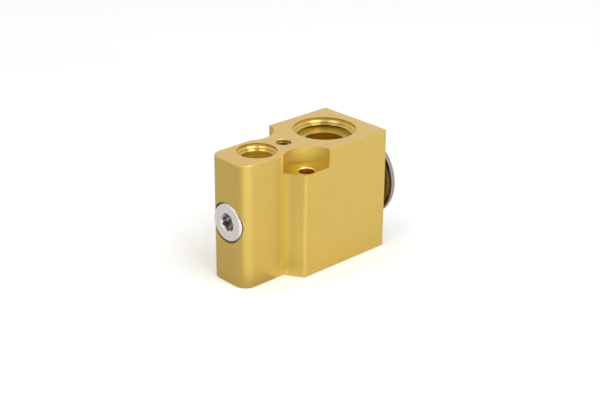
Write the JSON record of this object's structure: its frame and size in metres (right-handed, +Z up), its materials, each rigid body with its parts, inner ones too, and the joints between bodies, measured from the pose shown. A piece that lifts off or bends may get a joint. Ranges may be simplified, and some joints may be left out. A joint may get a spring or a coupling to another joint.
{
  "type": "expansion valve",
  "caption": "Block-type thermostatic expansion valve with refrigerant ports on two faces, a round power head at one end and an adjusting screw at the other.",
  "frame": {"origin": "on the base face, at mid-width, midway between the two bolt holes", "axes": "+X along the valve's axis from the adjusting plug to the power head, +Z up along the ports and bolt holes"},
  "size_m": [0.0787, 0.0346, 0.05],
  "materials": {
    "gold_anodised": "satin gold anodising, machined",
    "plug_steel": "turned, bright",
    "head_steel": "pressed and turned stainless steel",
    "seal_rubber": "matte green synthetic rubber",
    "spring_steel": "drawn wire",
    "sheet_steel": "pressed sheet",
    "ball_steel": "ground and polished",
    "rod_steel": "centreless ground",
    "turned_brass": "turned",
    "stem_aluminium": "turned, plain"
  },
  "bodies": {
    "block": {"valve_body": "gold_anodised", "superheat_spring": "spring_steel", "seat_insert": "rod_steel", "rod_seal": "seal_rubber", "seal_washer": "turned_brass", "seal_retainer": "sheet_steel", "diaphragm": "sheet_steel", "head_lower_shell": "head_steel", "head_upper_shell": "head_steel", "head_o_ring": "seal_rubber", "charge_plug": "head_steel"},
    "plug_seal": {"plug_o_ring": "seal_rubber"},
    "plug": {"adjusting_plug": "plug_steel"},
    "valve_train": {"sensing_stem": "stem_aluminium", "diaphragm_support": "turned_brass", "push_rod": "rod_steel", "valve_ball": "ball_steel", "ball_carrier": "turned_brass", "damping_spring": "sheet_steel"}
  },
  "joints": [
    {"name": "plug_travel", "type": "slide", "parent": "block", "child": "plug_seal", "axis": [1, 0, 0], "range_m": [-0.0005, 0.001], "deforming": ["superheat_spring"]},
    {"name": "plug_turn", "type": "hinge", "parent": "plug_seal", "child": "plug", "pos_m": [-0.02825, 0, 0.025], "axis": [1, 0, 0], "range_deg": [-180, 360]},
    {"name": "valve_lift", "type": "slide", "parent": "block", "child": "valve_train", "axis": [-1, 0, 0], "range_m": [0, 0.0007], "stiffness_N_per_m": 10000, "springref_m": -0.001, "deforming": ["superheat_spring"]}
  ],
  "couplings": [
    {"joint": "plug_travel", "follows": "plug_turn", "m_per_rad": 0.00015915}
  ]
}
